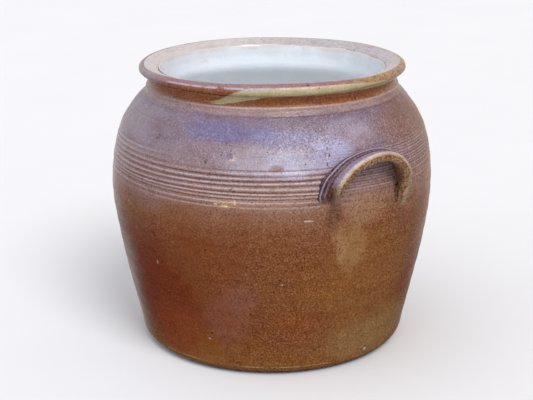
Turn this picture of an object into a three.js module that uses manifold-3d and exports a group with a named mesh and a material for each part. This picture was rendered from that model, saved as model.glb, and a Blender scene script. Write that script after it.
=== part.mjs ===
// A two-handled stoneware butter crock: a wheel-thrown pot with an everted rim and a band of
// incised rings, a white glaze lining, and two pulled strap handles luted on under the shoulder.
// Millimetres, +Z up. The origin is the middle of the foot, on the surface that the pot stands on.
// The handles lie on the X axis. All the profiles are drawn in the (radius, height) plane.

import * as THREE from "three";
import { mergeVertices } from "three/addons/utils/BufferGeometryUtils.js";
import Module from "manifold-3d";

// Driving dimensions of the thrown pot
const HEIGHT = 228; // foot to the crest of the rim
const BELLY_RADIUS = 130;
const BELLY_HEIGHT = 124;
const FOOT_RADIUS = 99; // flat contact face
const FOOT_ROUND = 11; // height of the rounded corner above the foot
const NECK_RADIUS = 100.2;
const NECK_HEIGHT = 210;
const RIM_RADIUS = 106.6; // the widest line of the rim
const RIM_CREST_RADIUS = 102.6;
const MOUTH_RADIUS = 89.6; // the inside of the neck, in the clay
const FLOOR_THICKNESS = 10.5;
const WALL = 9; // thickness of the body under the neck

// The band of incised rings
const RING_TOP = 168.8;
const RING_PITCH = 3.65;
const RING_COUNT = 6;
const LAST_RING = 143.7; // a single ring a little below the band
const RING_DEPTH = 0.7;
const RING_HALF_WIDTH = 1.0;

// The glaze lining
const GLAZE_GAP = 0.3; // clearance that keeps the two solids apart
const GLAZE_THICKNESS = 0.9;

// The strap handles
const HANDLE_GAP = 0.3;
const STRAP_SQUARENESS = 0.62; // 1 makes the section an ellipse, and less squares it up
const STRAP_SIDES = 16;
const STRAP_STEPS = 36;

const POT_SEGMENTS = 64;

const wasm = await Module();
wasm.setup();

const point = (r, z) => new THREE.Vector2(r, z);

// ---- profiles ------------------------------------------------------------------------------

// The thrown outer wall between the foot's rounded corner and the neck.
const outerWall = new THREE.SplineCurve([
  point(FOOT_RADIUS + FOOT_ROUND, FOOT_ROUND),
  point(FOOT_RADIUS + 19, 50),
  point(BELLY_RADIUS - 4.7, 86),
  point(BELLY_RADIUS, BELLY_HEIGHT),
  point(BELLY_RADIUS - 1.6, 154),
  point(BELLY_RADIUS - 8.4, 179.5),
  point(BELLY_RADIUS - 19.8, 197),
  point(NECK_RADIUS + 1.6, NECK_HEIGHT - 4.6),
  point(NECK_RADIUS, NECK_HEIGHT),
]);

// The radius of the smooth outer wall, with no rings, at a height between the foot and the neck.
const wallPoints = outerWall.getSpacedPoints(400);
function wallRadius(z) {
  const above = wallPoints.findIndex((p) => p.y >= z);
  const [low, high] = [wallPoints[above - 1], wallPoints[above]];
  return THREE.MathUtils.mapLinear(z, low.y, high.y, low.x, high.x);
}

// The quarter round between the flat foot and the wall.
function footCorner(steps) {
  const points = [];
  for (let i = 0; i < steps; i++) {
    const a = (i / steps) * (Math.PI / 2);
    points.push(
      point(FOOT_RADIUS + FOOT_ROUND * Math.sin(a), FOOT_ROUND * (1 - Math.cos(a))),
    );
  }
  return points;
}

// Heights of the incised rings, from the lowest up.
function ringHeights() {
  const band = Array.from({ length: RING_COUNT }, (_, i) => RING_TOP - i * RING_PITCH);
  return [LAST_RING, ...band.reverse()];
}

// The outer wall with its rings, from the foot's corner to the neck.
function wallWithRings() {
  const heights = ringHeights();
  const clear = (z) => heights.every((h) => Math.abs(z - h) > 1.2 * RING_HALF_WIDTH);
  const points = outerWall.getSpacedPoints(16).filter((p) => clear(p.y));
  for (const h of heights) {
    points.push(point(wallRadius(h - RING_HALF_WIDTH), h - RING_HALF_WIDTH));
    points.push(point(wallRadius(h) - RING_DEPTH, h));
    points.push(point(wallRadius(h + RING_HALF_WIDTH), h + RING_HALF_WIDTH));
  }
  return points.sort((a, b) => a.y - b.y);
}

// The everted rim, from just above the neck, over the crest, to the mouth's inner edge.
function rimSection() {
  const outside = new THREE.SplineCurve([
    point(NECK_RADIUS + 1.5, NECK_HEIGHT + 4.5),
    point(RIM_RADIUS - 2.2, HEIGHT - 9.8),
    point(RIM_RADIUS - 0.3, HEIGHT - 7),
    point(RIM_RADIUS, HEIGHT - 4.2),
    point(RIM_RADIUS - 1.1, HEIGHT - 1.4),
    point(RIM_CREST_RADIUS, HEIGHT),
  ]);
  const bevel = new THREE.SplineCurve([
    point(RIM_CREST_RADIUS - 3.4, HEIGHT - 0.6),
    point(MOUTH_RADIUS + 3, HEIGHT - 3.2),
    point(MOUTH_RADIUS + 0.7, HEIGHT - 5.2),
    point(MOUTH_RADIUS, HEIGHT - 8),
  ]);
  return [...outside.getPoints(7), ...bevel.getPoints(5)];
}

// The inside of the clay, from the mouth's inner edge down to the middle of the floor.
const innerWall = new THREE.SplineCurve([
  point(MOUTH_RADIUS, HEIGHT - 8),
  point(MOUTH_RADIUS - 0.2, HEIGHT - 18),
  point(MOUTH_RADIUS + 1.6, HEIGHT - 28),
  point(BELLY_RADIUS - 8.4 - WALL * 1.15, 177),
  point(BELLY_RADIUS - 1.6 - WALL, 152),
  point(BELLY_RADIUS - WALL, BELLY_HEIGHT - 1),
  point(BELLY_RADIUS - 4.7 - WALL, 86),
  point(FOOT_RADIUS + 19 - WALL, 50),
  point(FOOT_RADIUS + 12 - WALL, 26),
  point(FOOT_RADIUS + 3 - WALL, FLOOR_THICKNESS + 3),
  point(FOOT_RADIUS - 12 - WALL, FLOOR_THICKNESS),
]);

const innerPoints = [...innerWall.getSpacedPoints(13), point(0, FLOOR_THICKNESS)];

// The inner line moved a distance into the hollow.
function offsetInwards(points, distance) {
  return points.map((p, i) => {
    const before = points[Math.max(i - 1, 0)];
    const after = points[Math.min(i + 1, points.length - 1)];
    const along = after.clone().sub(before).normalize();
    const moved = point(p.x + along.y * distance, p.y - along.x * distance);
    if (p.x === 0) moved.x = 0;
    return moved;
  });
}

// ---- solids --------------------------------------------------------------------------------

// A solid of revolution about Z from a profile that starts and ends on the axis.
function turned(profile) {
  return new THREE.LatheGeometry(profile, POT_SEGMENTS).rotateX(Math.PI / 2);
}

function asSolid(geometry) {
  const bare = geometry.clone();
  bare.deleteAttribute("normal");
  bare.deleteAttribute("uv");
  const merged = mergeVertices(bare, 1e-3);
  const mesh = new wasm.Mesh({
    numProp: 3,
    vertProperties: merged.attributes.position.array,
    triVerts: new Uint32Array(merged.index.array),
  });
  return new wasm.Manifold(mesh);
}

function asGeometry(solid) {
  const mesh = solid.getMesh();
  const geometry = new THREE.BufferGeometry();
  geometry.setAttribute("position", new THREE.BufferAttribute(mesh.vertProperties, 3));
  geometry.setIndex(new THREE.BufferAttribute(mesh.triVerts, 1));
  geometry.computeVertexNormals();
  return geometry;
}

function thrownPot() {
  const outside = [point(0, 0), ...footCorner(4), ...wallWithRings()];
  return turned([...outside, ...rimSection(), ...innerPoints.slice(1)]);
}

function glazeLining() {
  const back = offsetInwards(innerPoints, GLAZE_GAP).reverse();
  const face = offsetInwards(innerPoints, GLAZE_GAP + GLAZE_THICKNESS);
  return turned([...back, ...face]);
}

// The smooth outside of the pot grown by the handle's gap: what the strap is cut back to.
function potKeepOut() {
  const grown = outerWall.getSpacedPoints(32).map((p) => point(p.x + HANDLE_GAP, p.y));
  return turned([point(0, FOOT_ROUND), ...grown, point(0, NECK_HEIGHT)]);
}

// Half of one strap, from the feathered root up to the top of the arch. angle is measured round the
// pot from the handle's middle, in degrees, and radius from the pot's axis. turn says how far the
// strap's broad outer face has turned from the arch's outside to face away from the pot.
const STRAP = [
  { angle: 14.6, z: 115, radius: 126.9, turn: 78, halfWidth: 9.2, halfThick: 2.6 },
  { angle: 14.7, z: 128, radius: 127.6, turn: 57, halfWidth: 9.4, halfThick: 3.4 },
  { angle: 15.2, z: 141, radius: 129.5, turn: 46, halfWidth: 9.1, halfThick: 4.2 },
  { angle: 15.1, z: 151.5, radius: 132, turn: 39, halfWidth: 8.8, halfThick: 4.3 },
  { angle: 13.6, z: 161.8, radius: 134.6, turn: 27, halfWidth: 8.6, halfThick: 4.2 },
  { angle: 8, z: 173, radius: 135.7, turn: 10, halfWidth: 8.5, halfThick: 4.1 },
  { angle: 0, z: 177.3, radius: 136, turn: 0, halfWidth: 8.5, halfThick: 4.1 },
];

// A value that runs smoothly through the whole strap, root to root. sign is -1 for a value that
// changes sign on the other half of the handle.
function alongStrap(key, sign) {
  const half = STRAP.map((station) => station[key]);
  const other = half.slice(0, -1).reverse().map((value) => sign * value);
  const curve = new THREE.SplineCurve([...half, ...other].map((value, i) => point(i, value)));
  return (t) => curve.getPoint(THREE.MathUtils.clamp(t, 0, 1)).y;
}

const strap = {
  angle: alongStrap("angle", -1),
  z: alongStrap("z", 1),
  radius: alongStrap("radius", 1),
  turn: alongStrap("turn", 1),
  halfWidth: alongStrap("halfWidth", 1),
  halfThick: alongStrap("halfThick", 1),
};

function strapCentre(t) {
  const a = -THREE.MathUtils.degToRad(strap.angle(t));
  return new THREE.Vector3(strap.radius(t) * Math.cos(a), strap.radius(t) * Math.sin(a), strap.z(t));
}

// The strap's own axes at t: across its broad face, and out of that face.
function strapAxes(t) {
  const centre = strapCentre(t);
  const archMiddle = strapCentre(0.5).setZ(strap.z(0));
  const ahead = strapCentre(t + 0.004).sub(strapCentre(t - 0.004)).normalize();
  const radial = new THREE.Vector3(centre.x, centre.y, 0).normalize();
  const outOfArch = new THREE.Vector3().crossVectors(radial, ahead).normalize();
  if (outOfArch.dot(centre.clone().sub(archMiddle)) < 0) outOfArch.negate();
  const turn = THREE.MathUtils.degToRad(strap.turn(t));
  const face = outOfArch.multiplyScalar(Math.cos(turn)).addScaledVector(radial, Math.sin(turn));
  face.addScaledVector(ahead, -face.dot(ahead)).normalize();
  return { centre, face, across: new THREE.Vector3().crossVectors(ahead, face) };
}

// The strap is a loft: a rounded section carried along the arch, turning as it goes.
function strapSolid() {
  const positions = [];
  for (let i = 0; i <= STRAP_STEPS; i++) {
    const t = i / STRAP_STEPS;
    const { centre, face, across } = strapAxes(t);
    for (let k = 0; k < STRAP_SIDES; k++) {
      const [w, n] = strapSection((k / STRAP_SIDES) * 2 * Math.PI);
      const at = centre.clone();
      at.addScaledVector(across, w * strap.halfWidth(t)).addScaledVector(face, n * strap.halfThick(t));
      positions.push(at.x, at.y, at.z);
    }
  }
  return lofted(positions, STRAP_STEPS + 1, STRAP_SIDES);
}

// A point on a rounded oblong whose half-width and half-thickness are 1, at an angle round it.
function strapSection(a) {
  const bow = (v) => Math.sign(v) * Math.abs(v) ** STRAP_SQUARENESS;
  return [bow(Math.cos(a)), bow(Math.sin(a))];
}

// Joins rings of points into one closed surface with a flat cap on each end.
function lofted(positions, rings, sides) {
  const faces = [];
  for (let i = 0; i < rings - 1; i++) {
    for (let k = 0; k < sides; k++) {
      const [a, b] = [i * sides + k, i * sides + ((k + 1) % sides)];
      faces.push(a, b + sides, b, a, a + sides, b + sides);
    }
  }
  const last = (rings - 1) * sides;
  for (let k = 1; k < sides - 1; k++) {
    faces.push(0, k, k + 1, last, last + k + 1, last + k);
  }
  const geometry = new THREE.BufferGeometry();
  geometry.setAttribute("position", new THREE.Float32BufferAttribute(positions, 3));
  geometry.setIndex(faces);
  return geometry;
}

function handleGeometry() {
  return asGeometry(asSolid(strapSolid()).subtract(asSolid(potKeepOut())));
}

// ---- assembly ------------------------------------------------------------------------------

const stoneware = new THREE.MeshStandardMaterial({
  name: "salt_glazed_stoneware",
  color: 0x8a5a3c,
  roughness: 0.35,
  metalness: 0,
});
const whiteGlaze = new THREE.MeshStandardMaterial({
  name: "white_glaze",
  color: 0xe2e6ea,
  roughness: 0.18,
  metalness: 0,
});

function part(name, geometry, material) {
  const mesh = new THREE.Mesh(geometry, material);
  mesh.name = name;
  return mesh;
}

const crock = new THREE.Group();
crock.add(part("stoneware_pot", thrownPot(), stoneware));
crock.add(part("white_glaze_lining", glazeLining(), whiteGlaze));
crock.add(part("handle_right", handleGeometry(), stoneware));
const leftHandle = part("handle_left", handleGeometry(), stoneware);
leftHandle.rotation.z = Math.PI;
crock.add(leftHandle);

export default crock;
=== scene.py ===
"""The looks of the butter crock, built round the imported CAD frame: metres, +Z up, the CAD's frame.

The handles lie on the X axis. An angle round the pot is measured from +X, in degrees, and is
counter-clockwise from above.
"""

import functools
import math

import bpy
import numpy as np
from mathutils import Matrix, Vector


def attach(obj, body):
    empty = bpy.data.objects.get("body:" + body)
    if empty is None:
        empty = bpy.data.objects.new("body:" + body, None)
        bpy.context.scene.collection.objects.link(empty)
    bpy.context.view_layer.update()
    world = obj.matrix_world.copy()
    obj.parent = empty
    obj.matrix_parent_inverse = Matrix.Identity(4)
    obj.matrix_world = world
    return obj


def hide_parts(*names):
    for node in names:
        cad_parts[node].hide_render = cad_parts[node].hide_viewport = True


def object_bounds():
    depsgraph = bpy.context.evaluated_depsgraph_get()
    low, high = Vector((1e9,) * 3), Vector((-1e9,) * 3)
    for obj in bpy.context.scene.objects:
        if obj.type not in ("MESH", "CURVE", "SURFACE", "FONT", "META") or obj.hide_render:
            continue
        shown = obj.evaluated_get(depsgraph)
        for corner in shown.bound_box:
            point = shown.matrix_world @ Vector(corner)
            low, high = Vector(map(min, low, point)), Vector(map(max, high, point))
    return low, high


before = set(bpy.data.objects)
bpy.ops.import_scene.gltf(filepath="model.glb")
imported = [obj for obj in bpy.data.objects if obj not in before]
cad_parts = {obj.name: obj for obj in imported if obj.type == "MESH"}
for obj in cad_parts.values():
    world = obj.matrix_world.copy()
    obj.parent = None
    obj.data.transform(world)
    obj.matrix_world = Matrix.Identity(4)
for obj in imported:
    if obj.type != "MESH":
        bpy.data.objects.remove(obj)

CAD_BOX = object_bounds()
MM = 0.001
scene = bpy.context.scene

# ---- dimensions, in millimetres ----

HEIGHT = CAD_BOX[1].z / MM
BELLY_RADIUS = (CAD_BOX[1].y - CAD_BOX[0].y) / 2 / MM
FOOT_RADIUS = 97.0
FOOT_ROUND = 13.0
NECK_RADIUS = 100.2
RIM_RADIUS = 106.6
MOUTH_RADIUS = 89.6
CREST = HEIGHT - 1.5
WALL = 9.0
FLOOR_THICKNESS = 10.5
GLAZE_GAP = 0.25
GLAZE_THICKNESS = 1.1

# The incised rings from the top one down: the height, and how deep it is cut
RINGS = (
    (176.1, 0.5),
    (172.4, 0.6),
    (168.9, 0.65),
    (164.8, 1.15),
    (161.1, 1.25),
    (157.4, 1.1),
    (153.6, 1.15),
    (151.0, 0.6),
    (148.2, 0.8),
    (143.6, 0.5),
)
SIDE_RINGS = 2  # how many of the top ones only show on the sides
RING_WIDTH = 0.5
RING_DEPTH = 0.5
FINE_PITCH = 1.95  # of the light comb marks under the right handle and past it

RIM_SPAN = 20.0  # the stretch over the rim's crest that its colours are laid out on
RIM_LEAN = 1.0  # how much higher the rim is on the photo's right than in the middle
MOUTH_ROWS = 12  # the rows at the mouth's edge that stay plain
PIT_ANGLE = -47.6
PIT_HEIGHT = 178.0
PIT_RADIUS = 2.7

SEGMENTS = 300  # round a turned piece
TURNS = np.arange(SEGMENTS) * 2 * math.pi / SEGMENTS

# The camera's direction seen from the pot in degrees, its distance in metres, and what it looks at
CAMERA_AZIMUTH = 56.6
CAMERA_ELEVATION = 17.44
CAMERA_DISTANCE = 0.960
CAMERA_TARGET = Vector((0, 0, 0.1083))


# ---- small numeric helpers ----


def catmull(points, per_span=12):
    """A smooth curve through the points, as an (n, k) array."""
    p = np.asarray(points, float)
    p = np.vstack([2 * p[0] - p[1], p, 2 * p[-1] - p[-2]])
    t = np.linspace(0, 1, per_span, endpoint=False)[:, None]
    spans = [
        b + 0.5 * t * (c - a + t * (2 * a - 5 * b + 4 * c - d + t * (3 * (b - c) + d - a)))
        for a, b, c, d in zip(p, p[1:], p[2:], p[3:])
    ]
    return np.vstack([*spans, p[-2:-1]])


def unit(v):
    return v / np.linalg.norm(v, axis=1)[:, None]


def distances(curve):
    """How far each point lies along the curve."""
    steps = np.linalg.norm(np.diff(curve, axis=0), axis=1)
    return np.concatenate([[0], np.cumsum(steps)])


def normals(curve):
    """The unit normal at each point of a flat curve, to the right of the way that it runs."""
    along = unit(np.gradient(curve, axis=0))
    return np.stack([along[:, 1], -along[:, 0]], axis=1)


def resample(curve, spacing):
    """The curve cut into even steps of about the spacing."""
    along = distances(curve)
    n = max(2, round(along[-1] / spacing) + 1)
    at = np.linspace(0, along[-1], n)
    return np.stack([np.interp(at, along, curve[:, i]) for i in range(curve.shape[1])], axis=1)


def smoothstep(low, high, x):
    t = np.clip((np.asarray(x, float) - low) / (high - low), 0, 1)
    return t * t * (3 - 2 * t)


def hump(x, centre, width):
    """A bell curve: 1 at the centre, and about a third one width away."""
    return np.exp(-(((x - centre) / width) ** 2))


def angle_from(theta, centre):
    """The signed angle in degrees from a centre direction, between -180 and 180."""
    return (np.degrees(theta) - centre + 180) % 360 - 180


def waves(theta, z, seed, turns=(1, 7), height=60.0, count=7):
    """Smooth noise round the pot, about -1 to 1: a sum of waves that close on themselves."""
    rng = np.random.default_rng(seed)
    total = 0
    for _ in range(count):
        around = rng.integers(turns[0], turns[1] + 1)
        up = rng.uniform(-1, 1) * 2 * math.pi / height
        total = total + np.sin(around * theta + up * z + rng.uniform(0, 2 * math.pi))
    return total / math.sqrt(count)


# ---- profiles of the thrown pot, as (radius, height) ----

WALL_POINTS = [
    (FOOT_RADIUS + FOOT_ROUND, FOOT_ROUND),
    (FOOT_RADIUS + 21, 50),
    (BELLY_RADIUS - 4.8, 86),
    (BELLY_RADIUS - 0.1, 124),
    (BELLY_RADIUS - 1.7, 154),
    (BELLY_RADIUS - 8.5, 179.5),
    (BELLY_RADIUS - 19.9, 197),
    (NECK_RADIUS + 2.3, 205.4),
    (NECK_RADIUS + 0.7, 209.2),
]
NECK_POINTS = [
    (NECK_RADIUS + 0.7, 209.2),
    (NECK_RADIUS - 0.3, 211.2),
    (NECK_RADIUS + 0.4, 214.6),
    (NECK_RADIUS + 2.4, 218.0),
]
RIM_POINTS = [
    (NECK_RADIUS + 2.4, 218.0),
    (RIM_RADIUS - 1.5, 219.4),
    (RIM_RADIUS - 0.2, 221.0),
    (RIM_RADIUS, 223.0),
    (RIM_RADIUS - 1.2, 225.2),
    (RIM_RADIUS - 4.4, CREST),
    (RIM_RADIUS - 9.0, CREST - 1.5),
    (MOUTH_RADIUS + 3.2, CREST - 3.4),
    (MOUTH_RADIUS + 0.9, CREST - 5.0),
    (MOUTH_RADIUS, CREST - 8),
]
INSIDE_POINTS = [
    (MOUTH_RADIUS, CREST - 8),
    (MOUTH_RADIUS - 0.2, HEIGHT - 18),
    (MOUTH_RADIUS + 1.6, HEIGHT - 28),
    (BELLY_RADIUS - 8.4 - WALL * 1.15, 177),
    (BELLY_RADIUS - 1.6 - WALL, 152),
    (BELLY_RADIUS - WALL, 123),
    (BELLY_RADIUS - 4.7 - WALL, 86),
    (FOOT_RADIUS + 21 - WALL, 50),
    (FOOT_RADIUS + 14 - WALL, 26),
    (FOOT_RADIUS + 5 - WALL, FLOOR_THICKNESS + 3),
    (FOOT_RADIUS - 10 - WALL, FLOOR_THICKNESS),
]

wall_curve = catmull(WALL_POINTS, 24)


def wall_radius(z):
    """The smooth outer wall's radius at a height."""
    return np.interp(z, wall_curve[:, 1], wall_curve[:, 0])


def band(curve, low, high):
    """The part of a curve whose heights lie between two values."""
    return curve[(curve[:, 1] >= low) & (curve[:, 1] <= high)]


def outside_rows():
    """Rows of (radius, height) from the middle of the base up to the mouth's inner edge."""
    a = np.linspace(0, math.pi / 2, 9)
    corner = np.stack(
        [FOOT_RADIUS + FOOT_ROUND * np.sin(a), FOOT_ROUND * (1 - np.cos(a))], axis=1
    )
    base = np.array([(r, 0.0) for r in (0.5, 20, 45, 65, 80, 90, 94)])
    fine = resample(wall_curve, 0.25)
    zones = [(0, 104, 2.9), (104, 141, 1.7), (141, 182, 0.3), (182, 201, 1.7), (201, 210, 0.5)]
    wall = [resample(band(fine, low, high), step)[1:] for low, high, step in zones]
    neck = resample(catmull(NECK_POINTS), 0.8)
    rim = resample(catmull(RIM_POINTS), 0.72)
    return np.vstack([base, corner[:-1], *wall, neck[1:], rim[1:]])


# ---- relief of the outside ----


def ring_heights(theta):
    """The height of each incised ring round the pot, from the top one down."""
    drift = [waves(theta, 0, 40 + i, (1, 4), count=4) for i in range(len(RINGS))]
    return np.array([height + 0.28 * by for (height, _), by in zip(RINGS, drift)])


def under_handle(theta):
    """1 under the right handle and just past it, where the comb ran light."""
    return 1 - smoothstep(28, 44, np.abs(angle_from(theta, 24)))


def ring_strengths(theta):
    """How deep each ring is cut round the pot: deepest in front, and light under the right handle."""
    from_front = np.abs(angle_from(theta, -36))
    sides = smoothstep(28, 75, from_front)
    light = under_handle(theta)
    rows = []
    for i, (_, level) in enumerate(RINGS):
        fade = sides if i < SIDE_RINGS else 1 - 0.42 * smoothstep(12, 45, from_front)
        uneven = 1 + 0.22 * waves(theta, 0, 60 + i, (1, 9), count=5)
        rows.append(level * fade * uneven * (1 - 0.75 * light))
    return np.array(rows)


def rings(theta, z):
    """The band of incised rings: negative in a groove, positive on the ridge under it."""
    relief = np.zeros_like(z)
    heights, strengths = ring_heights(theta), ring_strengths(theta)
    below = np.vstack([heights[1:], heights[-1:] - 2.6])
    for height, strength, lower in zip(heights, strengths, below):
        ridge = height - 0.47 * (height - lower)
        relief -= strength * hump(z, height, RING_WIDTH)
        relief += strength * 0.5 * hump(z, ridge, 1.1 * RING_WIDTH)
    comb = np.cos(2 * math.pi * (z - 0.4 * waves(theta, 0, 78, (1, 5), count=4)) / FINE_PITCH)
    window = smoothstep(147, 154, z) * (1 - smoothstep(176, 181, z))
    return RING_DEPTH * (relief + 0.22 * comb * window * under_handle(theta))


def throwing_marks(theta, z):
    """Soft rings left by the potter's fingers, with slow bumps and a slightly oval body."""
    spiral = np.sin(2 * math.pi * z / 13.5 + theta + 0.6 * waves(theta, z, 3))
    fine = np.sin(2 * math.pi * z / 4.3 + theta + 1.2 * waves(theta, z, 4))
    oval = 0.35 * np.cos(2 * theta + 0.7) + 0.2 * np.cos(3 * theta + 2.0)
    return 0.11 * spiral + 0.035 * fine + 0.22 * waves(theta, z, 5) + oval


def neck_line(theta, z):
    """The tool lines: under the rim and on its face, the shoulder's edge, and where its band ends."""
    angle = angle_from(theta, 0)
    right = smoothstep(-50, -20, angle) * smoothstep(90, 60, angle)
    left = smoothstep(25, 60, np.abs(angle_from(theta, -20)))
    under_rim = -0.75 * hump(z, 218.7 + 0.25 * np.sin(theta), 0.42)
    shoulder = 0.4 * hump(z, 208.9, 0.6)
    band_end = -(0.12 + 0.25 * right) * hump(z, 203.2 + 0.5 * np.sin(theta + 0.4), 0.5)
    on_face = -0.18 * left * hump(z, 222.4 + 0.5 * np.sin(theta + 1), 0.35)
    return under_rim + shoulder + band_end + on_face


def pit(theta, z):
    """A dent that something left in the wet clay, with a raised lip."""
    across = BELLY_RADIUS * np.radians(angle_from(theta, PIT_ANGLE))
    away = np.hypot(across, z - PIT_HEIGHT) / PIT_RADIUS
    return 0.35 * hump(away, 1.15, 0.35) - 0.9 * hump(away, 0, 0.8)


# ---- mesh helpers ----


def new_mesh(name, verts, faces, material):
    mesh = bpy.data.meshes.new(name)
    mesh.from_pydata((np.asarray(verts) * MM).tolist(), [], faces)
    mesh.validate()
    mesh.shade_smooth()
    mesh.materials.append(material)
    piece = bpy.data.objects.new(name, mesh)
    scene.collection.objects.link(piece)
    return piece


def lathe_grid(rows, relief):
    """Vertices and faces of a profile turned about Z, closed with a fan at each end. relief(theta, z)
    moves the surface along its normal. All in millimetres."""
    normal = normals(rows)
    theta, z = np.meshgrid(TURNS, rows[:, 1])
    move = relief(theta, z)
    r = rows[:, 0:1] + move * normal[:, 0:1]
    z = z + move * normal[:, 1:2]
    verts = np.stack([r * np.cos(theta), r * np.sin(theta), z], axis=-1).reshape(-1, 3)
    ring = np.arange(SEGMENTS)
    after = (ring + 1) % SEGMENTS
    low = np.arange(len(rows) - 1)[:, None] * SEGMENTS
    high = low + SEGMENTS
    quads = np.stack([low + ring, low + after, high + after, high + ring], axis=-1).reshape(-1, 4)
    n = len(rows) * SEGMENTS
    top = n - SEGMENTS
    start_fan = np.stack([after, ring, np.full(SEGMENTS, n)], axis=1)
    end_fan = np.stack([top + ring, top + after, np.full(SEGMENTS, n + 1)], axis=1)
    ends = [verts[:SEGMENTS].mean(0), verts[top:n].mean(0)]
    return np.vstack([verts, ends]), [*quads.tolist(), *start_fan.tolist(), *end_fan.tolist()]


def float_attribute(piece, name, values):
    attribute = piece.data.attributes.new(name, "FLOAT", "POINT")
    attribute.data.foreach_set("value", np.asarray(values, np.float32))


def unwrap_lathe(piece, rows, discs):
    """Lays out a turned piece for baking: its side in three strips, and each stretch of rows in
    discs, given as (first row, last row, u, v, scale), flat. Distances are in millimetres."""
    mesh = piece.data
    loops = np.empty(len(mesh.loops), int)
    mesh.loops.foreach_get("vertex_index", loops)
    sizes = np.empty(len(mesh.polygons), int)
    mesh.polygons.foreach_get("loop_total", sizes)
    first = np.concatenate([[0], np.cumsum(sizes)[:-1]])
    ring_of = np.minimum(loops // SEGMENTS, len(rows) - 1)
    start = np.repeat(loops[first] % SEGMENTS, sizes)
    turn = start + (loops - start) % SEGMENTS
    along = distances(rows)
    per_strip = math.ceil(SEGMENTS / 3)
    strip = np.minimum(start // per_strip, 2)
    arc = 2 * math.pi * rows[:, 0].max() / SEGMENTS
    width = arc * per_strip + 4
    last = len(rows) - 1
    tall = along[-1] - sum(along[min(b, last)] - along[a] for a, b, *_ in discs) + 4
    u = (turn - strip * per_strip) * arc + np.where(strip == 1, width, 0)
    v = along[ring_of] - along[discs[0][1]] + np.where(strip == 2, tall, 0)
    face_row = np.repeat(np.minimum.reduceat(ring_of, first), sizes)
    co = np.empty(len(mesh.vertices) * 3)
    mesh.vertices.foreach_get("co", co)
    flat = co.reshape(-1, 3)[loops, :2] / MM
    for a, b, du, dv, scale in discs:
        on = (face_row >= a) & (face_row < b)
        u = np.where(on, width + du + flat[:, 0] * scale, u)
        v = np.where(on, tall + dv + flat[:, 1] * scale, v)
    uv = np.stack([u, v], axis=1)
    uv -= uv.min(0)
    uv = 0.004 + 0.992 * uv / uv.max()
    mesh.uv_layers.new(name="OFBake").data.foreach_set("uv", uv.ravel())


# ---- the thrown pot ----


def build_pot(material):
    """The clay body: base, wall with its rings, neck, rim, and the inside behind the lining."""
    outside = outside_rows()
    inside = resample(catmull(INSIDE_POINTS), 8)[1:]
    rows = np.vstack([outside, inside, [(0.5, FLOOR_THICKNESS)]])
    is_outside = np.arange(len(rows)) < len(outside) - MOUTH_ROWS

    def relief(theta, z):
        moved = sum(part(theta, z) for part in (rings, throwing_marks, neck_line, pit))
        return moved * smoothstep(0, 14, z) * is_outside[:, None]

    verts, faces = lathe_grid(rows, relief)
    # the photo's right lies at the camera's azimuth, because one is from +X and the other from -Y
    turn = np.arctan2(verts[:, 1], verts[:, 0]) - math.radians(CAMERA_AZIMUTH)
    verts[:, 2] += RIM_LEAN * np.cos(turn) * smoothstep(120, 222, verts[:, 2])
    pot = new_mesh("pot_body", verts, faces, material)
    theta, z = np.meshgrid(TURNS, rows[:, 1])
    cut = -rings(theta, z) - neck_line(theta, z)
    cut = np.concatenate([(cut * is_outside[:, None]).ravel(), [0, 0]])
    float_attribute(pot, "groove", np.clip(cut / RING_DEPTH, 0, 1))
    float_attribute(pot, "burr_highlight", np.clip(-cut / RING_DEPTH * 2.5, 0, 1))
    crest = int(np.argmax(rows[: len(outside), 1]))
    along = distances(rows)
    inwards = np.clip(0.5 + (along - along[crest]) / RIM_SPAN, 0, 1)
    float_attribute(pot, "rim", np.append(np.repeat(inwards, SEGMENTS), [0, 1]))
    mouth = len(outside) - 1
    unwrap_lathe(pot, rows, [(0, 8, 105, 105, 1), (mouth, len(rows), 235, 30, 0.25)])
    return pot


# ---- the glaze lining ----


def offset_inwards(rows, distance):
    """The inner line moved into the hollow, from the mouth down to the floor's middle."""
    moved = rows + distance * normals(rows)
    moved[:, 0] = np.maximum(moved[:, 0], 0.5)
    return moved


def build_lining(material):
    """The poured white glaze: a skin on the clay, with a rolled and wandering edge at the mouth."""
    line = catmull([RIM_POINTS[-2], *INSIDE_POINTS])
    clay = np.vstack([resample(line, 2.8), [(50, FLOOR_THICKNESS)], [(0.5, FLOOR_THICKNESS)]])
    back = offset_inwards(clay, GLAZE_GAP)[::-1]
    face = offset_inwards(clay, GLAZE_GAP + GLAZE_THICKNESS)
    rise = np.array([(0, 0.8), (0, 0.6)])
    share = np.array([(0.7,), (0.3,)])
    lip = back[-1] * share + face[0] * (1 - share) + rise
    rows = np.vstack([back, lip, face])

    def relief(theta, z):
        sheet = 0.12 * waves(theta, z, 21, (2, 9), 40) + 0.05 * waves(theta, z, 22, (8, 24), 18)
        sheet = sheet * (np.arange(len(rows)) >= len(back))[:, None]
        return -np.abs(sheet)

    verts, faces = lathe_grid(rows, relief)
    angle = np.arctan2(verts[:, 1], verts[:, 0])
    wander = 0.35 * waves(angle, 0, 31, (2, 9)) + 0.22 * waves(angle, 0, 32, (15, 45))
    verts[:, 2] += wander * smoothstep(HEIGHT - 22, HEIGHT - 8, verts[:, 2])
    lining = new_mesh("glaze_lining", verts, faces, material)
    n = len(rows)
    unwrap_lathe(lining, rows, [(0, len(back), 250, 40, 0.3), (n - 6, n, 105, 105, 1)])
    return lining


# ---- the strap handles ----

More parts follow.
